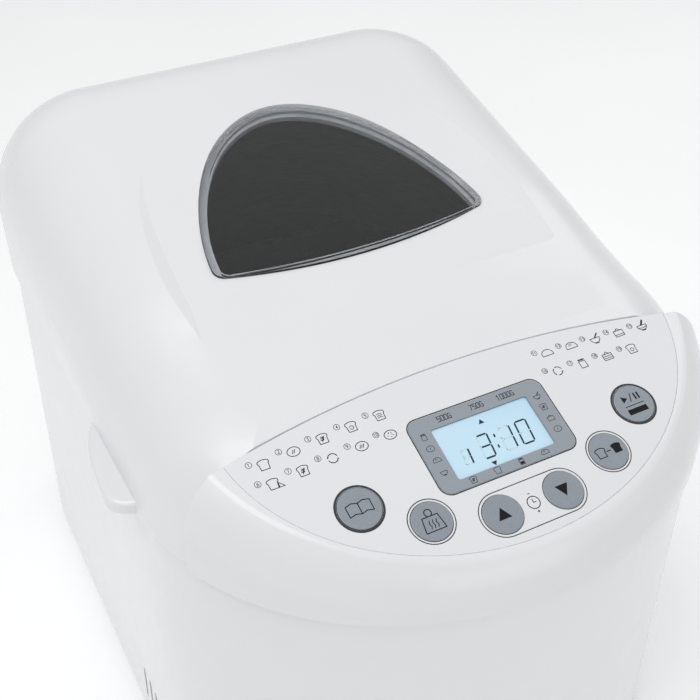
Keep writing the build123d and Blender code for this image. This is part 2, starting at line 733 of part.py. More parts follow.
def pan_coupling():
    """Upper half of the coupling: a wing on the lower end of the pan's shaft."""
    wing = box(-3.5, 3.5, PAN_Y - 15, PAN_Y + 15, -176.5, -169.5) + rod(6, -176.5, -167, 0, PAN_Y)
    wing -= box(-12.1, -4.0, PAN_Y - 8.3, PAN_Y + 8.3, -178, -168)
    wing -= box(4.0, 12.1, PAN_Y - 8.3, PAN_Y + 8.3, -178, -168)
    return wing - rod(SHAFT_R, -176, -160, 0, PAN_Y)


def paddle():
    """Kneading paddle: hub and one swept blade."""
    hub = rod(8.5, -153.6, -133, 0, PAN_Y) + rod(6.5, -133, -129, 0, PAN_Y)
    blade = extrude(make_face([
        Line((5, -3.5), (46, -1.5)),
        ThreePointArc((46, -1.5), (48, 0.2), (46, 2)),
        ThreePointArc((46, 2), (25, 6), (5, 4)),
        Line((5, 4), (5, -3.5)),
    ]), 34)
    blade = Pos(0, PAN_Y, -155.6) * Rot(0, 0, 205) * blade
    top_cut = Pos(0, PAN_Y, -155.6) * Rot(0, 0, 205) * Pos(36, 0, 44) * Rot(0, 38, 0) * Box(60, 30, 30)
    body = hub + (blade - top_cut)
    body -= rod(9.3, -160, -153.6, 0, PAN_Y)
    return body - rod(SHAFT_R, -160, -131, 0, PAN_Y)


# ---- lid ---------------------------------------------------------------------------------
def grip_tab(side):
    """Tab for lifting the lid: blunt in front, tapering away to the rear."""
    middle = Pos(side * GRIP_X, GRIP_Y)
    rear = Ellipse(GRIP_OUT, GRIP_REAR) & Pos(0, GRIP_REAR / 2) * Rectangle(2 * GRIP_OUT, GRIP_REAR)
    tab = block(middle * (Ellipse(GRIP_OUT, GRIP_FRONT) + rear), SEAM_Z, SEAM_Z + GRIP_T)
    return fillet(tab.faces().sort_by(Axis.Z)[-1].edges(), 2.0)


def lid_shell():
    """Outer skin of the lid with the window opening and a grip tab on each side."""
    shell = lid_dome(crest, 0.0, FLANK_R) & box(-200, 200, 0, 400, SEAM_Z, 130)
    shell -= tongue_cutter()
    for side in (-1, 1):
        shell += grip_tab(side)
    shell -= lid_dome(lambda y: crown(y) - 3.0, 3.0, FLANK_R - 3.0)
    shell -= on_panel(Rectangle(400, 400), FRONT_LIP, 40)
    shell -= WINDOW * extrude(Pos(0, 0, -30) * window_face(0.25), 60)
    shell -= box(-200, 200, 334, 400, SEAM_Z - 1, SEAM_Z + 4.5)
    for x in (-HINGE_X, HINGE_X):
        shell -= box(x - 11, x + 11, 340, 400, SEAM_Z - 1, HINGE_Z + 7)
    return shell


def window_pane():
    """Clear window with a raised rim."""
    pane = extrude(Pos(0, 0, -3.8) * window_face(), 5.0)
    return WINDOW * (pane - extrude(Pos(0, 0, -0.6) * window_face(-3.6), 3))


def window_gasket():
    ring = extrude(Pos(0, 0, -5.8) * window_face(5.0), 1.9)
    ring += extrude(Pos(0, 0, -6.6) * window_face(2.0), 1.0)
    return WINDOW * (ring - extrude(Pos(0, 0, -7) * window_face(-4.2), 10))


def lid_liner():
    """Inner panel of the lid with the light well under the window."""
    top = SEAM_Z + 5.0
    outline = plan(LID_HALF - 3.8, NOSE - 3.8, REAR - 6.2, 58)
    plate = block(outline, top - 1.2, top) - parting(PARTING_GAP + 3.6)
    well = extrude(Pos(0, 0, -90) * window_face(4.2), 83.4)
    hole = extrude(Pos(0, 0, -90) * window_face(3.0), 90)
    well = (WINDOW * well) & box(-200, 200, 60, 400, top - 1.2, 80)
    liner = plate + well - WINDOW * hole
    for x in (-HINGE_X, HINGE_X):
        liner -= box(x - 12, x + 12, 338, 400, -30, -10)
    liner -= box(-200, 200, 334, 400, -30, SEAM_Z + 4.5)
    return liner


def lid_gasket():
    """Silicone seal under the lid, round the chamber's flange."""
    top = SEAM_Z + 3.8
    return block(chamber_plan(5.5), top - 2.8, top) - block(chamber_plan(2.0), top - 4, top + 1)


def lid_screws():
    screws = Part()
    for x, y in ((-118, 100), (118, 100), (-118, 220), (118, 220), (-90, 325), (90, 325)):
        screws += rod(3.0, SEAM_Z + 2.2, SEAM_Z + 3.8, x, y)
    return screws


def hinge_arms():
    """Arms under the lid's rear edge; each ends in the barrel that turns on its pin."""
    arms = Part()
    for x in (-HINGE_X, HINGE_X):
        arm = box(x - 3.6, x + 3.6, 318, HINGE_Y, SEAM_Z + 5.0, SEAM_Z + 8.0)
        arm += rod_x(4.2, x - 3.6, x + 3.6, HINGE_Y, HINGE_Z)
        arms += arm - rod_x(2.0 + RUNNING, x - 6, x + 6, HINGE_Y, HINGE_Z)
    return arms


def hinge_brackets():
    """Ears on the deck that hold the hinge pins."""
    ears = Part()
    for x in (-HINGE_X, HINGE_X):
        for side in (-1, 1):
            low, high = sorted((x + side * 4.0, x + side * 8.0))
            ear = box(low, high, HINGE_Y - 4.2, HINGE_Y + 4.2, DECK_TOP, HINGE_Z)
            ear += rod_x(4.2, low, high, HINGE_Y, HINGE_Z)
            ears += ear - rod_x(2.0, low - 1, high + 1, HINGE_Y, HINGE_Z)
    return ears


def hinge_pins():
    return Part() + [rod_x(2.0, x - 8.5, x + 8.5, HINGE_Y, HINGE_Z) for x in (-HINGE_X, HINGE_X)]


# ---- everything --------------------------------------------------------------------------
def main():
    os.makedirs("parts", exist_ok=True)
    save("body_shell", body_shell())
    save("base_tray", base_tray())
    save("rubber_feet", rubber_feet())
    save("housing_screws", base_screws() + board_screws())
    save("cord_gland", cord_gland())
    save("top_cover", top_cover())
    save("panel_overlay", panel_overlay())
    save("display_bezel", display_bezel())
    save("lcd_glass", lcd_glass())
    save("lcd_backlight", lcd_backlight())
    for name, (u, v, r) in KEYS.items():
        save(name, key_cap(u, v, r))
    save("control_board", control_board())
    save("board_parts", tact_switches() + control_chips())
    save("power_board", power_board())
    save("power_parts", power_parts())
    save("ribbon_cable", ribbon_cable())
    save("chamber_liner", chamber_liner())
    save("liner_legs", liner_legs())
    save("element_tube", element_tube())
    save("element_terminals", element_terminals())
    save("temperature_sensor", temperature_sensor())
    save("thermal_fuse", thermal_fuse())
    save("pan_seat", pan_seat())
    save("bearing_housing", bearing_housing())
    save("drive_shaft", drive_shaft())
    save("drive_coupling", drive_coupling())
    save("large_pulley", pulley(LARGE_PULLEY_R, PAN_Y, SHAFT_R, True))
    save("shaft_clips", shaft_clips())
    save("drive_belt", drive_belt())
    save("motor_plate", motor_plate())
    save("motor_dampers", motor_dampers())
    save("motor_stator", motor_stator())
    save("motor_coils", motor_coils())
    save("motor_brackets", motor_brackets())
    save("motor_rotor", motor_rotor())
    save("motor_shaft", motor_shaft())
    save("motor_fan", motor_fan())
    save("motor_pulley", pulley(SMALL_PULLEY_R, MOTOR_Y, 3.0, False))
    save("motor_capacitor", motor_capacitor())
    save("bread_pan", bread_pan())
    save("pan_foot", pan_foot())
    save("pan_bushing", pan_bushing())
    save("pan_handle", pan_handle())
    save("pan_shaft", pan_shaft())
    save("pan_coupling", pan_coupling())
    save("paddle", paddle())
    save("lid_shell", lid_shell())
    save("window_pane", window_pane())
    save("window_gasket", window_gasket())
    save("lid_liner", lid_liner())
    save("lid_gasket", lid_gasket())
    save("lid_screws", lid_screws())
    save("hinge_arms", hinge_arms())
    save("hinge_brackets", hinge_brackets())
    save("hinge_pins", hinge_pins())


main()
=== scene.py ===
"""Bread machine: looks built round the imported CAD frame. Metres, front towards -Y, +Z up."""
import json
import math

import bpy
from mathutils import Matrix, Vector


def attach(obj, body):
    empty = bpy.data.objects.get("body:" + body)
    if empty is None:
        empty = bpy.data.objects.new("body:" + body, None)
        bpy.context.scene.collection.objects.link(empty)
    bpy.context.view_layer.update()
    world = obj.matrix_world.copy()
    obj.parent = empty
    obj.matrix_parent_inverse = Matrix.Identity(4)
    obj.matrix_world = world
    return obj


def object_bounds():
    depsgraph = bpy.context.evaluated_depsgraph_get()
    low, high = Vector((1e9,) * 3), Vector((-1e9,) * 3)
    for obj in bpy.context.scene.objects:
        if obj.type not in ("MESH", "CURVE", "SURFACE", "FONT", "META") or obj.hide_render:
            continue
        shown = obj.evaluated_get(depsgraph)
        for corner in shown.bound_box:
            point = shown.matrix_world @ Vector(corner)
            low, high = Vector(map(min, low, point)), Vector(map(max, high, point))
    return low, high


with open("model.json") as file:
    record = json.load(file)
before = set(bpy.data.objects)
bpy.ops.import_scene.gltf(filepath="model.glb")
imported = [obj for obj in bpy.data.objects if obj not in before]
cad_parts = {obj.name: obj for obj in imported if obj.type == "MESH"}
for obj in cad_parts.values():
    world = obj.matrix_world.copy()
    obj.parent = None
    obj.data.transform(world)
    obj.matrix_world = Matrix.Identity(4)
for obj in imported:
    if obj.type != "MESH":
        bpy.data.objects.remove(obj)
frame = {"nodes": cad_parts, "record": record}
CAD_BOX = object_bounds()
NODES = frame["nodes"]
SLOT_OF = {part["node"]: part["material_slot"] for part in frame["record"]["subparts"]}

MM = 0.001
PANEL_TILT = math.radians(18.0)
NOSE_TO_DATUM = 28.0 * MM    # from the foremost point back to the point between the time keys
FLOOR_TO_DATUM = 233.0 * MM  # from the floor up to the same point

# Everything printed is in panel millimetres: u right, v up the slope, heights off the panel plane.
MEMBRANE_TOP = -0.1
KEY_TOP = 0.35
BEZEL_TOP = 0.0
GLASS_TOP = -0.9
PRINT_LIFT = 0.05            # ink stands this far off its surface
INK_WIDTH = 0.34             # the usual pen stroke
FINE_WIDTH = 0.3
KEY_WIDTH = 0.42             # strokes on and round the keys
SEGMENT_WIDTH = 0.8

KEYS = {                     # u, v and radius of each key
    "key_menu": (-68.7, 24.5, 9.3),
    "key_weight": (-44.0, 8.4, 8.8),
    "key_up": (-15.0, 0.0, 8.8),
    "key_down": (15.0, 0.0, 8.8),
    "key_crust": (44.0, 8.4, 8.8),
    "key_start": (68.7, 24.5, 9.3),
}


def panel_matrix():
    """From panel millimetres (u right, v up the slope, n outward) to row metres."""
    y = CAD_BOX[0][1] + NOSE_TO_DATUM
    z = CAD_BOX[0][2] + FLOOR_TO_DATUM
    turn = Matrix.Rotation(PANEL_TILT, 4, "X")
    return Matrix.Translation((0, y, z)) @ turn @ Matrix.Scale(MM, 4)


PANEL = panel_matrix()


# ---- node helpers ------------------------------------------------------------------------
class Nodes:
    """A material's node tree with short calls for what is used here."""

    def __init__(self, name):
        self.material = bpy.data.materials.new(name)
        self.material.use_nodes = True
        self.tree = self.material.node_tree
        self.shader = self.tree.nodes["Principled BSDF"]
        coords = self.tree.nodes.new("ShaderNodeTexCoord")
        self.place = coords.outputs["Object"]

    def set(self, **values):
        for name, value in values.items():
            self.shader.inputs[name.replace("_", " ")].default_value = value

    def link(self, source, target):
        self.tree.links.new(source, target)

    def noise(self, scale, detail=4.0, rough=0.5, stretch=None):
        node = self.tree.nodes.new("ShaderNodeTexNoise")
        node.inputs["Scale"].default_value = scale
        node.inputs["Detail"].default_value = detail
        node.inputs["Roughness"].default_value = rough
        source = self.place
        if stretch:
            mapping = self.tree.nodes.new("ShaderNodeMapping")
            mapping.inputs["Scale"].default_value = stretch
            self.link(source, mapping.inputs["Vector"])
            source = mapping.outputs["Vector"]
        self.link(source, node.inputs["Vector"])
        return node.outputs["Fac"]

    def ramp(self, source, low, high, start=0.3, stop=0.7):
        """Colour ramp between two colours."""
        node = self.tree.nodes.new("ShaderNodeValToRGB")
        node.color_ramp.elements[0].position = start
        node.color_ramp.elements[0].color = (*low, 1)
        node.color_ramp.elements[1].position = stop
        node.color_ramp.elements[1].color = (*high, 1)
        self.link(source, node.inputs["Fac"])
        return node.outputs["Color"]

    def span(self, source, low, high):
        """Maps 0..1 to low..high."""
        node = self.tree.nodes.new("ShaderNodeMapRange")
        node.inputs["To Min"].default_value = low
        node.inputs["To Max"].default_value = high
        self.link(source, node.inputs["Value"])
        return node.outputs["Result"]

    def bump(self, source, strength, distance):
        node = self.tree.nodes.new("ShaderNodeBump")
        node.inputs["Strength"].default_value = strength
        node.inputs["Distance"].default_value = distance
        self.link(source, node.inputs["Height"])
        self.link(node.outputs["Normal"], self.shader.inputs["Normal"])

    def colour(self, source):
        self.link(source, self.shader.inputs["Base Color"])

    def roughness(self, source):
        self.link(source, self.shader.inputs["Roughness"])


def plastic(name, colour, rough, grain=900.0, depth=0.00002, coat=0.0):
    """Moulded plastic: faint flow marks in the colour, fine grain in the gloss and surface."""
    m = Nodes(name)
    shade = tuple(c * 0.975 for c in colour)
    m.colour(m.ramp(m.noise(9.0, 3.0), shade, colour))
    m.roughness(m.span(m.noise(60.0, 5.0), rough - 0.03, rough + 0.04))
    m.bump(m.noise(grain, 2.0), 0.25, depth)
    m.set(IOR=1.5, Coat_Weight=coat, Coat_Roughness=0.06)
    return m.material


def metal(name, colour, rough, stretch=None, grain=700.0):
    """Bare metal: brushed or drawn streaks in colour, gloss and surface."""
    m = Nodes(name)
    dark = tuple(c * 0.78 for c in colour)
    streaks = m.noise(grain, 4.0, 0.6, stretch)
    m.colour(m.ramp(streaks, dark, colour))
    m.roughness(m.span(streaks, rough - 0.06, rough + 0.1))
    m.bump(streaks, 0.15, 0.00002)
    m.set(Metallic=1.0)
    return m.material


def coated(name, base, fleck, rough):
    """Dark non-stick coating with light flecks."""
    m = Nodes(name)
    m.colour(m.ramp(m.noise(1400.0, 1.0), base, fleck, 0.64, 0.74))
    m.roughness(m.span(m.noise(220.0, 5.0), rough - 0.05, rough + 0.12))
    m.bump(m.noise(500.0, 3.0), 0.2, 0.00003)
    m.set(Specular_IOR_Level=0.45)
    return m.material


def rubber(name, colour):
    """Matt moulded rubber or silicone."""
    m = Nodes(name)
    m.colour(m.ramp(m.noise(40.0, 5.0), tuple(c * 0.8 for c in colour), colour))
    m.roughness(m.span(m.noise(300.0, 4.0), 0.5, 0.75))
    m.bump(m.noise(800.0, 3.0), 0.3, 0.00004)
    return m.material


def clear(name, tint, rough=0.02):
    """Clear moulded plastic with a faint ripple."""
    m = Nodes(name)
    m.colour(m.ramp(m.noise(25.0, 2.0), tuple(c * 0.97 for c in tint), tint))
    m.roughness(m.span(m.noise(90.0, 3.0), rough, rough + 0.03))
    m.bump(m.noise(14.0, 2.0), 0.05, 0.0004)
    m.set(Transmission_Weight=1.0, IOR=1.45)
    return m.material


def key_metal(name):
    """Metallic grey lacquer of the key discs, with a fine sparkle."""
    m = Nodes(name)
    fine = m.noise(2600.0, 2.0)
    m.colour(m.ramp(fine, (0.27, 0.30, 0.335), (0.34, 0.375, 0.415)))
    m.roughness(m.span(m.noise(300.0, 3.0), 0.32, 0.42))
    m.bump(fine, 0.2, 0.00001)
    m.set(Metallic=0.3)
    return m.material


def backlit(name):
    """The display's glass: a pale blue light, a little uneven."""
    m = Nodes(name)
    spread = m.noise(18.0, 1.0)
    light = m.ramp(spread, (0.44, 0.63, 0.76), (0.52, 0.71, 0.83))
    m.colour(light)
    m.link(light, m.shader.inputs["Emission Color"])
    m.roughness(m.span(m.noise(200.0, 2.0), 0.2, 0.3))
    m.set(Emission_Strength=0.16)
    return m.material


def ink(name, colour, rough=0.5):
    """Screen-printed ink, a little uneven."""
    m = Nodes(name)
    m.colour(m.ramp(m.noise(500.0, 3.0), tuple(c * 0.8 for c in colour), colour))
    m.roughness(m.span(m.noise(300.0, 3.0), rough - 0.05, rough + 0.08))
    m.bump(m.noise(1500.0, 2.0), 0.2, 0.00001)
    m.set(Specular_IOR_Level=0.15)
    return m.material


WHITE = (0.83, 0.84, 0.85)
MATERIALS = {
    "shell_white": plastic("shell_white", WHITE, 0.24, coat=0.2),
    "panel_print": plastic("panel_print", (0.80, 0.815, 0.83), 0.40, grain=1500.0),
    "bezel_grey": plastic("bezel_grey", (0.31, 0.345, 0.385), 0.38, grain=1500.0),
    "lcd": backlit("lcd"),
    "key_grey": key_metal("key_grey"),
    "clear": clear("clear", (0.90, 0.92, 0.93)),
    "silicone": rubber("silicone", (0.74, 0.75, 0.77)),
    "black_rubber": rubber("black_rubber", (0.03, 0.03, 0.032)),
    "dark_plastic": plastic("dark_plastic", (0.05, 0.05, 0.055), 0.45),
    "board_green": plastic("board_green", (0.03, 0.16, 0.07), 0.35, grain=400.0),
    "sheet_steel": metal("sheet_steel", (0.60, 0.61, 0.62), 0.30, (1, 1, 12), 120.0),
    "zinc_steel": metal("zinc_steel", (0.66, 0.67, 0.66), 0.36, None, 160.0),
    "black_coat": coated("black_coat", (0.035, 0.035, 0.038), (0.16, 0.16, 0.17), 0.34),
    "element_steel": metal("element_steel", (0.20, 0.19, 0.18), 0.45, None, 300.0),
    "ceramic": plastic("ceramic", (0.75, 0.72, 0.64), 0.55, grain=600.0),
    "cast_alloy": metal("cast_alloy", (0.58, 0.59, 0.60), 0.42, None, 240.0),
    "brass": metal("brass", (0.72, 0.55, 0.26), 0.3, None, 240.0),
    "copper_coil": metal("copper_coil", (0.62, 0.27, 0.12), 0.35, (1, 1, 30), 90.0),
    "white_liner": plastic("white_liner", (0.74, 0.75, 0.76), 0.42),
    "iron_core": metal("iron_core", (0.24, 0.24, 0.25), 0.5, (1, 1, 60), 60.0),
    "steel": metal("steel", (0.72, 0.73, 0.74), 0.18, (1, 1, 20), 90.0),
}
INK = ink("ink", (0.010, 0.012, 0.016))
RING_INK = ink("ring_ink", (0.055, 0.06, 0.07), 0.4)
SEGMENT = ink("segment", (0.025, 0.045, 0.07), 0.3)
GHOST = ink("ghost", (0.68, 0.88, 0.97), 0.3)


def dress_nodes():
    """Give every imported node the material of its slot."""
    for name, node in NODES.items():
        material = MATERIALS[SLOT_OF[name]]
        for slot in node.material_slots:
            slot.material = material


# ---- print on the panel ------------------------------------------------------------------
class Print:
    """Flat marks in panel millimetres, gathered into one mesh at one height."""

    def __init__(self, name, height, material, slot="panel_print", body="housing"):
        self.name = name
        self.height = height
        self.material = material
        self.slot = slot
        self.body = body
        self.points = []
        self.faces = []

    def polygon(self, points):
        first = len(self.points)
        self.points.extend(points)
        self.faces.append(tuple(range(first, first + len(points))))

    def disc(self, u, v, r, sides=20):
        turn = 2 * math.pi / sides
        angles = [i * turn for i in range(sides)]
        self.polygon([(u + r * math.cos(a), v + r * math.sin(a)) for a in angles])

    def line(self, points, width=INK_WIDTH, closed=False):
        """A pen stroke with round joints."""
        pairs = list(zip(points, points[1:]))
        if closed:
            pairs.append((points[-1], points[0]))
        for (u0, v0), (u1, v1) in pairs:
            long = math.hypot(u1 - u0, v1 - v0) or 1.0
            du = -(v1 - v0) / long * width / 2
            dv = (u1 - u0) / long * width / 2
            near = [(u0 - du, v0 - dv), (u1 - du, v1 - dv)]
            far = [(u1 + du, v1 + dv), (u0 + du, v0 + dv)]
            self.polygon(near + far)
        for u, v in points:
            self.disc(u, v, width / 2, 8)

    def ring(self, u, v, r_in, r_out, sides=72):
        turn = 2 * math.pi / sides
        for i in range(sides):
            a, b = i * turn, (i + 1) * turn
            self.polygon([
                (u + r_in * math.cos(a), v + r_in * math.sin(a)),
                (u + r_out * math.cos(a), v + r_out * math.sin(a)),
                (u + r_out * math.cos(b), v + r_out * math.sin(b)),
                (u + r_in * math.cos(b), v + r_in * math.sin(b)),
            ])

    def make(self):
        mesh = bpy.data.meshes.new(self.name)
        places = [PANEL @ Vector((u, v, self.height)) for u, v in self.points]
        mesh.from_pydata(places, [], self.faces)
        mesh.materials.append(self.material)
        piece = bpy.data.objects.new(self.name, mesh)
        bpy.context.scene.collection.objects.link(piece)
        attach(piece, self.body)


def arc(u, v, r, start, stop, count=12):
    """Points along an arc, between angles in degrees."""
    angles = [math.radians(start + (stop - start) * i / (count - 1)) for i in range(count)]
    return [(u + r * math.cos(a), v + r * math.sin(a)) for a in angles]


def shifted(points, u, v, scale=1.0):
    """The points scaled and then moved by (u, v)."""
    return [(u + scale * a, v + scale * b) for a, b in points]


DIGITS = {                   # pen strokes in a box 1 wide and 2 high
    "0": [[(0, 0), (1, 0), (1, 2), (0, 2), (0, 0)]],
    "1": [[(0.1, 1.6), (0.5, 2), (0.5, 0)]],
    "2": [[(0, 2), (1, 2), (1, 1.1), (0, 0), (1, 0)]],
    "3": [[(0, 2), (1, 2), (0.4, 1.1), (1, 0.9), (1, 0), (0, 0)]],
    "4": [[(0.8, 0), (0.8, 2), (0, 0.7), (1.1, 0.7)]],
    "5": [[(1, 2), (0, 2), (0, 1.1), (1, 1.1), (1, 0), (0, 0)]],
    "6": [[(1, 2), (0, 1.4), (0, 0), (1, 0), (1, 1), (0, 1)]],
    "7": [[(0, 2), (1, 2), (0.4, 0)]],
    "8": [[(0, 0), (1, 0), (1, 2), (0, 2), (0, 0)], [(0, 1), (1, 1)]],
    "9": [[(1, 1), (0, 1), (0, 2), (1, 2), (1, 0.6), (0.2, 0)]],
    "G": [[(1, 1.7), (0.7, 2), (0.2, 2), (0, 1.6), (0, 0.4), (0.3, 0), (1, 0), (1, 1), (0.6, 1)]],
}


def number(sheet, text, u, v, height, width):
    """Figures centred on (u, v)."""
    step = height * 0.72
    left = u - step * len(text) / 2 + height * 0.11    # half the gap between two figures
    for i, letter in enumerate(text):
        for stroke in DIGITS[letter]:
            sheet.line(shifted(stroke, left + i * step, v - height / 2, height / 2), width)


# ---- little pictures for the baking programmes ---------------------------------------------
def slice_outline(size=1.0):
    """Outline of a slice of bread, about 6 wide."""
    left = arc(-1.9, 1.5, 1.0, 240, 110, 7)
    right = arc(1.9, 1.5, 1.0, 70, -60, 7)
    crust = [(-1.0, 2.75), (0.0, 2.9), (1.0, 2.75)]
    return [(a * size, b * size) for a, b in [(-2.2, -2.6), *left, *crust, *right, (2.2, -2.6)]]


def draw_slice(sheet, u, v, extra=0):
    """A slice: 0 plain, 1 with a ring, 2 with an ear of wheat, 3 with waves, 4 beside a wedge."""
    sheet.line(shifted(slice_outline(), u, v), closed=True)
    if extra == 1:
        sheet.line(shifted(arc(0, -0.4, 1.0, 200, 520), u, v), FINE_WIDTH)
    if extra == 2:
        sheet.line(shifted([(-0.6, -1.6), (0.7, 1.2)], u, v), FINE_WIDTH)
        for k in (-0.9, -0.1, 0.7):
            for side in (-1, 1):
                grain = [(0.35 * k, k), (0.35 * k + side * 0.8, k + 0.5)]
                sheet.line(shifted(grain, u, v), 0.42)
    if extra == 3:
        for k in (-1.2, -0.2, 0.8):
            sheet.line(shifted([(-1.3, k), (0, k + 0.3), (1.3, k)], u, v), 0.28)
    if extra == 4:
        sheet.line(shifted([(2.2, -2.6), (5.0, -2.6), (2.4, 0.0)], u, v), FINE_WIDTH)
        sheet.polygon(shifted([(1.7, -2.6), (2.5, -2.6), (2.6, 0.2), (2.0, 0.4)], u, v))


def draw_roll(sheet, u, v, cuts=3):
    """A round roll with slanting cuts, or with seeds where there are none."""
    flat = [(a, 0.76 * b) for a, b in arc(0, 0, 3.3, 0, 342, 20)]
    sheet.line(shifted(flat, u, v), closed=True)
    if cuts:
        for k in range(cuts):
            at = 0.9 * (k - (cuts - 1) / 2)
            sheet.line(shifted([(at - 0.5, -0.9), (at + 0.5, 0.9)], u, v), FINE_WIDTH)
        return
    for k in range(7):
        turn = 2.4 * k
        seed_u = u + 1.9 * math.cos(turn) * (0.4 + 0.1 * k)
        seed_v = v + 1.3 * math.sin(turn)
        sheet.disc(seed_u, seed_v, 0.28, 6)


def draw_loaf(sheet, u, v, cuts=0):
    """A low domed loaf."""
    outline = arc(0, -0.8, 3.4, 8, 172, 14) + [(-3.3, -1.7), (3.3, -1.7)]
    flat = [(a, b * 0.85) for a, b in outline]
    sheet.line(shifted(flat, u, v), closed=True)
    for k in range(cuts):
        at = -1.2 + 1.2 * k
        sheet.line(shifted([(at, 0.2), (at + 0.6, 1.4)], u, v), FINE_WIDTH)


def draw_cycle(sheet, u, v, turns=2):
    """Arrows that chase each other round a circle."""
    for k in range(turns):
        start = 360 * k / turns
        stop = start + 360 / turns
        sheet.line(shifted(arc(0, 0, 2.5, start + 15, stop - 25), u, v), 0.4)
        head = math.radians(stop - 22)
        sheet.disc(u + 2.5 * math.cos(head), v + 2.5 * math.sin(head), 0.6, 3)


def draw_bowl(sheet, u, v, tool=0):
    """A bowl on its foot: 1 with a spoon, 3 filled and with a thick stirrer."""
    sheet.line(shifted(arc(0, 0.6, 3.0, 180, 360), u, v), closed=True)
    sheet.line(shifted([(-1.2, -2.7), (1.2, -2.7)], u, v))
    if tool == 1:
        sheet.line(shifted([(0.4, 0.9), (2.8, 3.1)], u, v), 0.6)
    if tool == 3:
        sheet.line(shifted([(-2.6, -0.6), (0, -1.3), (2.6, -0.6)], u, v), FINE_WIDTH)
        sheet.line(shifted([(0.0, 0.8), (2.0, 3.4)], u, v), 0.9)


def draw_jar(sheet, u, v, full=0):
    """A jam jar with its lid, empty or full."""
    glass = [(-1.9, -2.7), (1.9, -2.7), (1.9, 1.4), (-1.9, 1.4)]
    sheet.line(shifted(glass, u, v), closed=True)
    sheet.line(shifted([(-1.6, 2.3), (1.6, 2.3)], u, v), 0.7)
    if full:
        sheet.polygon(shifted([(-1.5, -2.3), (1.5, -2.3), (1.5, -0.2), (-1.5, -0.2)], u, v))


def draw_cake(sheet, u, v, layers=2):
    """A layer cake with a peak on top."""
    side = [(-2.8, -2.4), (2.8, -2.4), (2.8, 1.2), (-2.8, 1.2)]
    sheet.line(shifted(side, u, v), closed=True)
    for k in range(layers):
        at = -1.3 + 1.2 * k
        sheet.line(shifted([(-2.8, at), (2.8, at)], u, v), FINE_WIDTH)
    sheet.line(shifted([(-1.6, 1.2), (0, 2.5), (1.6, 1.2)], u, v))


PICTURES = [                 # each row: first u, step, height at the middle, droop, pictures
    (-96.3, 13.8, 61.5, 0.0005,
     [(draw_slice, 0), (draw_roll, 2), (draw_slice, 2), (draw_slice, 1), (draw_slice, 3)]),
    (-96.3, 13.8, 51.2, 0.0004,
     [(draw_slice, 4), (draw_slice, 2), (draw_cycle, 2), (draw_roll, 3), (draw_roll, 0)]),
    (45.9, 12.9, 63.0, 0.0004,
     [(draw_loaf, 0), (draw_loaf, 2), (draw_bowl, 1), (draw_cake, 1), (draw_bowl, 3)]),
    (45.4, 13.3, 52.9, 0.0004,
     [(draw_cycle, 3), (draw_jar, 0), (draw_cake, 2), (draw_slice, 1)]),
]
PICTURE_SCALE = 0.86
NUMBER_SHIFT_U = -5.9        # from a picture to its circled number
NUMBER_SHIFT_V = 2.1
NUMBER_HEIGHT = 1.4
NUMBER_WIDTH = 0.22
NUMBER_RING = (1.25, 1.47)   # inner and outer radius


class Small:
    """Draws on a sheet at a smaller size, about the point given."""

    def __init__(self, sheet, u, v, scale, width):
        self.sheet = sheet
        self.at = (u, v)
        self.scale = scale
        self.width = width

    def fit(self, points):
        u0, v0 = self.at
        return [(u0 + (u - u0) * self.scale, v0 + (v - v0) * self.scale) for u, v in points]

    def line(self, points, width=INK_WIDTH, closed=False):
        self.sheet.line(self.fit(points), width / INK_WIDTH * self.width, closed)

    def polygon(self, points):
        self.sheet.polygon(self.fit(points))

    def disc(self, u, v, r, sides=20):
        (point,) = self.fit([(u, v)])
        self.sheet.disc(*point, r * self.scale, sides)


def print_programmes():
    """The numbered pictures of the baking programmes, in rows that droop towards the sides."""
    sheet = Print("print_programmes", MEMBRANE_TOP + PRINT_LIFT, INK)
    count = 0
    for first, step, middle, droop, pictures in PICTURES:
        for i, (draw, kind) in enumerate(pictures):
            u = first + i * step
            v = middle - droop * u * u
            draw(Small(sheet, u, v, PICTURE_SCALE, INK_WIDTH), u, v, kind)
            count += 1
            number_u = u + NUMBER_SHIFT_U
            number_v = v + NUMBER_SHIFT_V
            sheet.ring(number_u, number_v, *NUMBER_RING, 24)
            number(sheet, str(count), number_u, number_v, NUMBER_HEIGHT, NUMBER_WIDTH)
    sheet.make()


KEY_RINGS = {                # inner and outer edge of each ring, out from the key's own edge
    "key_menu": (0.35, 1.35),
    "key_weight": (1.0, 1.45),
    "key_crust": (1.0, 1.45),
    "key_start": (0.35, 1.35),
}
TIME_REACH = 10.2            # the time keys' shared outline, out from the key centres
BORDER_V = 34.3              # the border line round the display
BORDER_HALF_U = 33.9
BORDER_HALF_V = 18.9
BORDER_CORNER = 5.3
BORDER_WIDTH = 0.55


def print_rings():
    """Rings round four keys, the outline shared by the two time keys, and the display's border."""
    sheet = Print("print_rings", MEMBRANE_TOP + PRINT_LIFT, RING_INK)
    for name, (inner, outer) in KEY_RINGS.items():
        u, v, r = KEYS[name]
        sheet.ring(u, v, r + inner, r + outer)
    up_u, down_u = KEYS["key_up"][0], KEYS["key_down"][0]
    outline = arc(down_u, 0, TIME_REACH, -90, 90, 30) + arc(up_u, 0, TIME_REACH, 90, 270, 30)
    sheet.line(outline, KEY_WIDTH, closed=True)
    border = []
    for side_u, side_v, start in ((1, 1, 0), (-1, 1, 90), (-1, -1, 180), (1, -1, 270)):
        u = side_u * (BORDER_HALF_U - BORDER_CORNER)
        v = BORDER_V + side_v * (BORDER_HALF_V - BORDER_CORNER)
        border += arc(u, v, BORDER_CORNER, start, start + 90, 8)
    sheet.line(border, BORDER_WIDTH, closed=True)
    sheet.make()


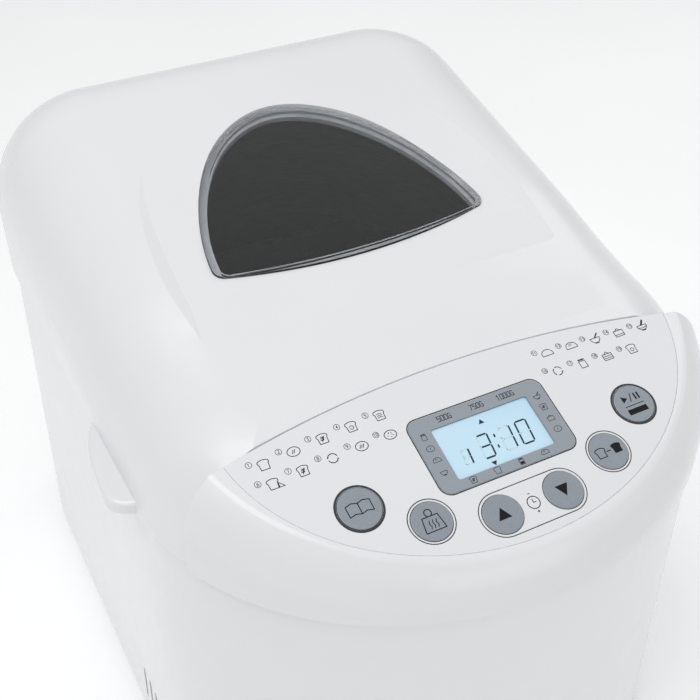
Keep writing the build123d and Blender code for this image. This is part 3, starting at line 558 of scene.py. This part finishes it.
def print_clock():
    """The clock between the time keys, with a minus sign above it and a plus sign below."""
    sheet = Print("print_clock", MEMBRANE_TOP + PRINT_LIFT, INK)
    sheet.ring(0, -0.2, 2.6, 3.0, 40)
    sheet.line([(0, 1.5), (0, -0.2), (1.3, -0.2)], 0.35)
    sheet.line([(-0.5, 4.1), (0.5, 4.1)], FINE_WIDTH)
    sheet.line([(-0.5, -4.5), (0.5, -4.5)], FINE_WIDTH)
    sheet.line([(0, -4.0), (0, -5.0)], FINE_WIDTH)
    sheet.make()


WEIGHTS = {"500G": -15.5, "750G": 0.6, "1000G": 15.5}
WEIGHT_V = 49.6
WEIGHT_HEIGHT = 2.5
BEZEL_COLUMNS = {            # u of a column of marks, and its marks from the top
    -28.4: (draw_jar, draw_roll, draw_loaf, draw_bowl),
    28.9: (draw_bowl, draw_slice, draw_cake, draw_roll),
}
BEZEL_TOP_V = 44.0
BEZEL_STEP_V = 5.9
BEZEL_ROW = (draw_slice, draw_slice, draw_jar, draw_loaf)
BEZEL_ROW_U = -18.4
BEZEL_ROW_V = 18.4
BEZEL_STEP_U = 11.9
BEZEL_PICTURE_SCALE = 0.56
BEZEL_PICTURE_WIDTH = 0.22


def print_bezel():
    """The loaf weights above the display, a column of marks on each side and a row below."""
    sheet = Print("print_bezel", BEZEL_TOP + PRINT_LIFT, INK, "bezel_grey")
    for text, u in WEIGHTS.items():
        number(sheet, text, u, WEIGHT_V, WEIGHT_HEIGHT, FINE_WIDTH)
    marks = []
    for u, column in BEZEL_COLUMNS.items():
        marks += [(u, BEZEL_TOP_V - BEZEL_STEP_V * k, draw) for k, draw in enumerate(column)]
    for k, draw in enumerate(BEZEL_ROW):
        marks.append((BEZEL_ROW_U + BEZEL_STEP_U * k, BEZEL_ROW_V, draw))
    for i, (u, v, draw) in enumerate(marks):
        draw(Small(sheet, u, v, BEZEL_PICTURE_SCALE, BEZEL_PICTURE_WIDTH), u, v, i % 3)
    sheet.make()


SEGMENTS = {                 # strokes of a seven-segment figure in a box 1 wide and 2 high
    "a": [(0.12, 2), (0.88, 2)],
    "b": [(1, 1.9), (1, 1.1)],
    "c": [(1, 0.9), (1, 0.1)],
    "d": [(0.12, 0), (0.88, 0)],
    "e": [(0, 0.9), (0, 0.1)],
    "f": [(0, 1.9), (0, 1.1)],
    "g": [(0.15, 1), (0.85, 1)],
}
SHOWN = {"0": "abcdef", "1": "bc", "3": "abgcd"}
FIGURES = [                  # figure, left end, lower end, width, height
    ("1", -17.2, 25.7, 3.4, 7.0),
    ("3", -8.0, 25.4, 5.1, 11.0),
    ("1", 2.9, 25.4, 5.3, 11.0),
    ("0", 11.4, 25.4, 5.4, 11.0),
]
SEGMENT_LEAN = 0.11          # sideways for each unit of height
COLON = ((0.3, 28.8), (1.1, 34.0))
UPPER_POINTER = [(-2.3, 41.3), (0.5, 41.3), (-0.9, 43.5)]
LOWER_POINTER = [(-6.8, 23.2), (-5.4, 21.1), (-4.0, 23.2)]


def print_display():
    """Seven-segment figures with their faint unlit segments, the colon and the two pointers."""
    lit = Print("print_segments", GLASS_TOP + PRINT_LIFT, SEGMENT, "lcd")
    faint = Print("print_ghosts", GLASS_TOP + PRINT_LIFT / 2, GHOST, "lcd")
    for figure, left, low, wide, tall in FIGURES:
        for name, stroke in SEGMENTS.items():
            up = [b * tall / 2 for _, b in stroke]
            across = [a * wide + rise * SEGMENT_LEAN for (a, _), rise in zip(stroke, up)]
            sheet = lit if name in SHOWN[figure] else faint
            sheet.line(shifted(zip(across, up), left, low), SEGMENT_WIDTH)
    for u, v in COLON:
        lit.line([(u, v - 0.5), (u + 0.1, v + 0.5)], SEGMENT_WIDTH)
    lit.polygon(UPPER_POINTER)
    lit.polygon(LOWER_POINTER)
    lit.make()
    faint.make()


def mark_book(sheet, u, v):
    """An open book, one leaf on each side."""
    for side in (-1, 1):
        lower = [(0, -2.6), (side * 2.6, -1.9), (side * 5.4, -2.6)]
        upper = [(side * 5.4, 2.4), (side * 2.6, 3.1), (0, 2.4)]
        sheet.line(shifted(lower + upper, u, v), KEY_WIDTH, closed=True)


def mark_weight(sheet, u, v):
    """A kitchen weight with a ring on top and three wavy lines on it."""
    weight = [(-4.6, -4.4), (4.6, -4.4), (3.6, 2.2), (-3.6, 2.2)]
    sheet.line(shifted(weight, u, v), KEY_WIDTH, closed=True)
    sheet.line(shifted(arc(0, 3.8, 1.6, -60, 240), u, v), KEY_WIDTH)
    for k in (-1.6, 0, 1.6):
        wave = [(k, -3.2), (k + 0.5, -2.1), (k, -1.0), (k + 0.5, 0.4)]
        sheet.line(shifted(wave, u, v), 0.36)


def mark_up(sheet, u, v):
    sheet.polygon(shifted([(-3.1, -2.4), (3.1, -2.4), (0, 3.0)], u, v))


def mark_down(sheet, u, v):
    sheet.polygon(shifted([(-3.1, 2.4), (0, -3.0), (3.1, 2.4)], u, v))


def mark_crust(sheet, u, v):
    """A pale slice, a dash and a dark slice."""
    size = 0.85
    sheet.line(shifted(slice_outline(size), u - 4.0, v), 0.38, closed=True)
    sheet.line([(u - 1.0, v), (u + 0.8, v)], 0.5)
    sheet.polygon(shifted(slice_outline(size), u + 4.2, v))


def mark_start(sheet, u, v):
    """Play, a slash and pause above a line, with a stop bar under it."""
    sheet.polygon(shifted([(-4.4, 1.5), (-1.6, 3.2), (-4.4, 4.9)], u, v))
    sheet.line(shifted([(-0.6, 1.4), (0.8, 5.2)], u, v), KEY_WIDTH)
    for k in (2.5, 4.2):
        sheet.line(shifted([(k, 1.8), (k, 4.6)], u, v), 0.8)
    sheet.line(shifted([(-4.9, -0.6), (4.9, -0.6)], u, v), 0.35)
    sheet.polygon(shifted([(-5.0, -4.9), (5.0, -4.9), (5.0, -2.2), (-5.0, -2.2)], u, v))


KEY_MARKS = {
    "key_menu": mark_book,
    "key_weight": mark_weight,
    "key_up": mark_up,
    "key_down": mark_down,
    "key_crust": mark_crust,
    "key_start": mark_start,
}


def print_keys():
    """One mark on each key; it moves with the key."""
    for name, draw in KEY_MARKS.items():
        u, v, _ = KEYS[name]
        sheet = Print("mark_" + name, KEY_TOP + PRINT_LIFT, INK, "key_grey", name + "_body")
        draw(sheet, u, v)
        sheet.make()


# ---- stage -------------------------------------------------------------------------------
FLOOR_HALF = 40.0            # metres
FLOOR_GLOW = 0.2
HORIZON = (0.86, 0.89, 0.92, 1)
ZENITH = (1.0, 1.0, 1.0, 1)
SKY_STRENGTH = 0.54
SUBJECT = (0, 0.05, 0.25)    # where the upper lights aim
CAMERA_PLACE = Vector((-0.2156, -0.4171, 0.5736))
CAMERA_AIM = Vector((0.0064, 0.0116, 0.1845))
CAMERA_LENS = 58.1
CAMERA_SENSOR = 36.0


def add_floor():
    """A wide pale floor that the machine stands on."""
    m = Nodes("floor")
    pale = m.ramp(m.noise(3.0, 2.0), (0.90, 0.90, 0.90), (0.93, 0.93, 0.93))
    m.colour(pale)
    m.link(pale, m.shader.inputs["Emission Color"])
    m.roughness(m.span(m.noise(20.0, 3.0), 0.55, 0.7))
    m.set(Emission_Strength=FLOOR_GLOW)
    mesh = bpy.data.meshes.new("floor")
    half = FLOOR_HALF
    corners = [(-half, -half, 0), (half, -half, 0), (half, half, 0), (-half, half, 0)]
    mesh.from_pydata(corners, [], [(0, 1, 2, 3)])
    mesh.materials.append(m.material)
    floor = bpy.data.objects.new("floor", mesh)
    bpy.context.scene.collection.objects.link(floor)


def add_world():
    """A bright sky that falls off towards the horizon, as a light tent does."""
    world = bpy.data.worlds.new("studio")
    world.use_nodes = True
    tree = world.node_tree
    back = tree.nodes["Background"]
    coords = tree.nodes.new("ShaderNodeTexCoord")
    split = tree.nodes.new("ShaderNodeSeparateXYZ")
    ramp = tree.nodes.new("ShaderNodeValToRGB")
    ramp.color_ramp.elements[0].color = HORIZON
    ramp.color_ramp.elements[1].color = ZENITH
    tree.links.new(coords.outputs["Generated"], split.inputs["Vector"])
    tree.links.new(split.outputs["Z"], ramp.inputs["Fac"])
    tree.links.new(ramp.outputs["Color"], back.inputs["Color"])
    back.inputs["Strength"].default_value = SKY_STRENGTH
    bpy.context.scene.world = world


def add_light(name, place, aim, size, power):
    """A soft rectangular lamp that faces its aim."""
    light = bpy.data.lights.new(name, "AREA")
    light.shape = "RECTANGLE"
    light.size = size[0]
    light.size_y = size[1]
    light.energy = power
    lamp = bpy.data.objects.new(name, light)
    lamp.location = place
    lamp.rotation_euler = (Vector(aim) - Vector(place)).to_track_quat("-Z", "Y").to_euler()
    bpy.context.scene.collection.objects.link(lamp)


def add_lights():
    add_light("key_box", (-0.55, -0.05, 1.7), SUBJECT, (1.2, 1.2), 11.5)
    add_light("right_box", (1.2, 0.3, 1.2), SUBJECT, (0.8, 1.0), 2.5)
    add_light("front_fill", (0.3, -1.8, 0.7), (0, 0.0, 0.15), (1.2, 0.8), 2.5)


def add_camera():
    """The photograph's viewing angle."""
    camera = bpy.data.cameras.new("camera")
    camera.lens = CAMERA_LENS
    camera.sensor_width = CAMERA_SENSOR
    eye = bpy.data.objects.new("camera", camera)
    eye.location = CAMERA_PLACE
    eye.rotation_euler = (CAMERA_AIM - CAMERA_PLACE).to_track_quat("-Z", "Y").to_euler()
    bpy.context.scene.collection.objects.link(eye)
    bpy.context.scene.camera = eye


dress_nodes()
print_programmes()
print_rings()
print_clock()
print_bezel()
print_display()
print_keys()
add_floor()
add_world()
add_lights()
add_camera()
bpy.context.scene.view_settings.view_transform = "Standard"
